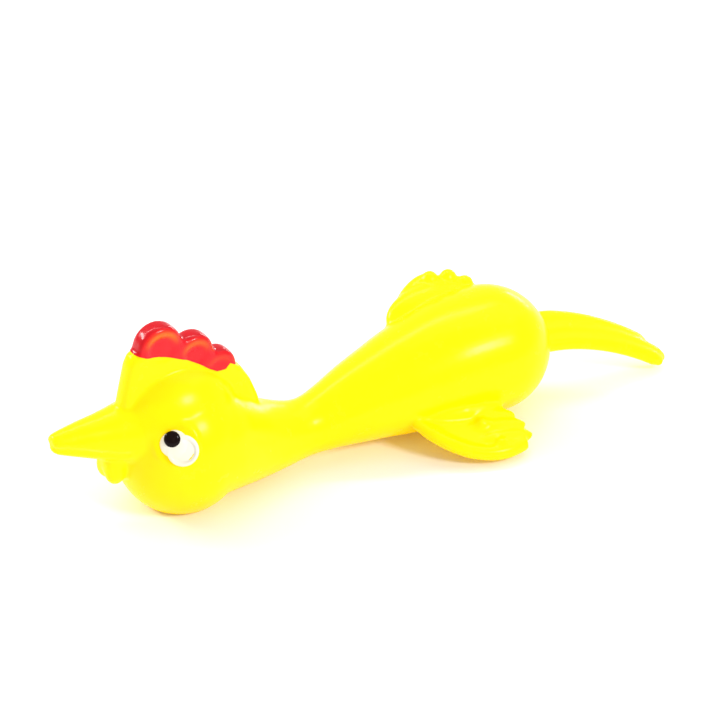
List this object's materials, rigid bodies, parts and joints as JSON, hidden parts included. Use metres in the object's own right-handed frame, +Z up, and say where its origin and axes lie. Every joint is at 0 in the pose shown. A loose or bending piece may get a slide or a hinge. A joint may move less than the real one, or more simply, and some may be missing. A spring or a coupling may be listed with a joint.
{
  "type": "rubber chicken",
  "caption": "Small stretchy flick-flyer rubber chicken with a finger pocket in its head, painted comb and eyes, two wings and a bending tail.",
  "frame": {"origin": "bottom centre of the object's box, on the surface that the head's rim and the belly stand on", "axes": "+Z up; the beak points to -X and the tail to +X; the chicken's left side is towards -Y"},
  "size_m": [0.117, 0.0314, 0.0355],
  "materials": {
    "yellow_rubber": "glossy translucent",
    "red_paint": "glossy",
    "white_paint": "satin",
    "black_paint": "glossy"
  },
  "bodies": {
    "torso_body": {"torso": "yellow_rubber"},
    "neck_body": {"neck_rear": "yellow_rubber"},
    "throat_body": {"neck_front": "yellow_rubber"},
    "head_body": {"head": "yellow_rubber", "beak": "yellow_rubber", "wattle": "yellow_rubber", "comb_saddle": "yellow_rubber", "left_eye_white": "white_paint", "right_eye_white": "white_paint", "left_pupil": "black_paint", "right_pupil": "black_paint"},
    "comb_body": {"comb_crest": "yellow_rubber", "comb_paint": "red_paint"},
    "left_wing_body": {"left_wing": "yellow_rubber"},
    "right_wing_body": {"right_wing": "yellow_rubber"},
    "tail_body": {"tail_base": "yellow_rubber"},
    "tail_tip_body": {"tail_tip": "yellow_rubber"}
  },
  "joints": [
    {"name": "neck_stretch", "type": "slide", "parent": "torso_body", "child": "neck_body", "axis": [-1, 0, 0], "range_m": [0, 0.06], "stiffness_N_per_m": 60},
    {"name": "neck_twist", "type": "hinge", "parent": "neck_body", "child": "throat_body", "pos_m": [-0.00953, 0.00303, 0.0062], "axis": [1, 0, 0], "range_deg": [-90, 90], "stiffness_Nm_per_rad": 0.02},
    {"name": "head_nod", "type": "hinge", "parent": "throat_body", "child": "head_body", "pos_m": [-0.03323, 0.00303, 0.0105], "axis": [0, 1, 0], "range_deg": [-35, 8], "stiffness_Nm_per_rad": 0.02},
    {"name": "comb_flop", "type": "hinge", "parent": "head_body", "child": "comb_body", "pos_m": [-0.03323, 0.00303, 0.0259], "axis": [0.9563, 0, -0.2924], "range_deg": [-25, 25], "stiffness_Nm_per_rad": 0.002},
    {"name": "left_wing_flap", "type": "hinge", "parent": "torso_body", "child": "left_wing_body", "pos_m": [0.01647, -0.00768, 0.00514], "axis": [-0.9923, 0.1133, 0.0504], "range_deg": [-20, 55], "stiffness_Nm_per_rad": 0.002},
    {"name": "right_wing_flap", "type": "hinge", "parent": "torso_body", "child": "right_wing_body", "pos_m": [0.01812, 0.01248, 0.01904], "axis": [0.9946, 0.0737, 0.0737], "range_deg": [-35, 45], "stiffness_Nm_per_rad": 0.002},
    {"name": "tail_lift", "type": "hinge", "parent": "torso_body", "child": "tail_body", "pos_m": [0.03937, 0.00303, 0.0106], "axis": [-0.0992, -0.8131, -0.5736], "range_deg": [-15, 40], "stiffness_Nm_per_rad": 0.002},
    {"name": "tail_tip_bend", "type": "hinge", "parent": "tail_body", "child": "tail_tip_body", "pos_m": [0.04882, 0.0019, 0.00766], "axis": [-0.3657, -0.8697, -0.3316], "range_deg": [-20, 45], "stiffness_Nm_per_rad": 0.002}
  ]
}
